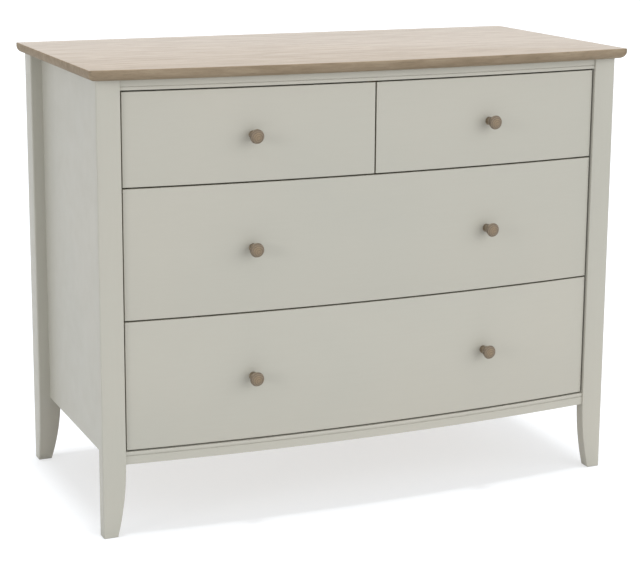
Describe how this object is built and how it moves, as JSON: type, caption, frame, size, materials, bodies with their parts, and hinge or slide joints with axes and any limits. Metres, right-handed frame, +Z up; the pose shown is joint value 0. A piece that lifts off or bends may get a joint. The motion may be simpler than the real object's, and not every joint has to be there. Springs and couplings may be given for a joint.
{
  "type": "chest of drawers",
  "caption": "Bow-front chest with small drawers side by side over full-width drawers, turned knobs, a washed oak top and tapered legs.",
  "frame": {"origin": "on the floor, under the middle of the chest's overall length and depth", "axes": "+X along the chest to the right as seen from the front, +Y to the back, +Z up"},
  "size_m": [1.01, 0.5061, 0.8],
  "materials": {
    "painted_timber": "satin grey-sage paint",
    "oak_top": "pale washed oak, matt lacquer",
    "oak_knob": "washed oak, matt lacquer",
    "drawer_wood": "clear lacquer",
    "inner_wood": "unfinished",
    "back_board": "grey painted board",
    "steel": "zinc plated"
  },
  "bodies": {
    "case": {"back_panel": "back_board", "bottom_runner_left": "inner_wood", "bottom_runner_right": "inner_wood", "centre_runner_left": "inner_wood", "centre_runner_right": "inner_wood", "drawer_partition": "inner_wood", "front_bottom_rail": "painted_timber", "front_leg_left": "painted_timber", "front_leg_right": "painted_timber", "front_top_rail": "painted_timber", "lower_drawer_rail": "inner_wood", "middle_runner_left": "inner_wood", "middle_runner_right": "inner_wood", "rear_bottom_rail": "inner_wood", "rear_leg_left": "painted_timber", "rear_leg_right": "painted_timber", "rear_middle_rail": "inner_wood", "rear_top_rail": "inner_wood", "side_panel_left": "painted_timber", "side_panel_right": "painted_timber", "top_cleat_left": "inner_wood", "top_cleat_right": "inner_wood", "top_panel": "oak_top", "top_runner_left": "inner_wood", "top_runner_right": "inner_wood", "upper_drawer_rail": "inner_wood"},
    "top_left_drawer": {"top_left_drawer_back": "drawer_wood", "top_left_drawer_bottom": "drawer_wood", "top_left_drawer_front": "painted_timber", "top_left_drawer_knob": "oak_knob", "top_left_drawer_knob_screws": "steel", "top_left_drawer_side_left": "drawer_wood", "top_left_drawer_side_right": "drawer_wood"},
    "top_right_drawer": {"top_right_drawer_back": "drawer_wood", "top_right_drawer_bottom": "drawer_wood", "top_right_drawer_front": "painted_timber", "top_right_drawer_knob": "oak_knob", "top_right_drawer_knob_screws": "steel", "top_right_drawer_side_left": "drawer_wood", "top_right_drawer_side_right": "drawer_wood"},
    "middle_drawer": {"middle_drawer_back": "drawer_wood", "middle_drawer_bottom": "drawer_wood", "middle_drawer_front": "painted_timber", "middle_drawer_knob_left": "oak_knob", "middle_drawer_knob_right": "oak_knob", "middle_drawer_knob_screws": "steel", "middle_drawer_side_left": "drawer_wood", "middle_drawer_side_right": "drawer_wood"},
    "bottom_drawer": {"bottom_drawer_back": "drawer_wood", "bottom_drawer_bottom": "drawer_wood", "bottom_drawer_front": "painted_timber", "bottom_drawer_knob_left": "oak_knob", "bottom_drawer_knob_right": "oak_knob", "bottom_drawer_knob_screws": "steel", "bottom_drawer_side_left": "drawer_wood", "bottom_drawer_side_right": "drawer_wood"}
  },
  "joints": [
    {"name": "top_left_drawer_slide", "type": "slide", "parent": "case", "child": "top_left_drawer", "axis": [0, -1, 0], "range_m": [0, 0.28]},
    {"name": "top_right_drawer_slide", "type": "slide", "parent": "case", "child": "top_right_drawer", "axis": [0, -1, 0], "range_m": [0, 0.28]},
    {"name": "middle_drawer_slide", "type": "slide", "parent": "case", "child": "middle_drawer", "axis": [0, -1, 0], "range_m": [0, 0.28]},
    {"name": "bottom_drawer_slide", "type": "slide", "parent": "case", "child": "bottom_drawer", "axis": [0, -1, 0], "range_m": [0, 0.28]}
  ]
}
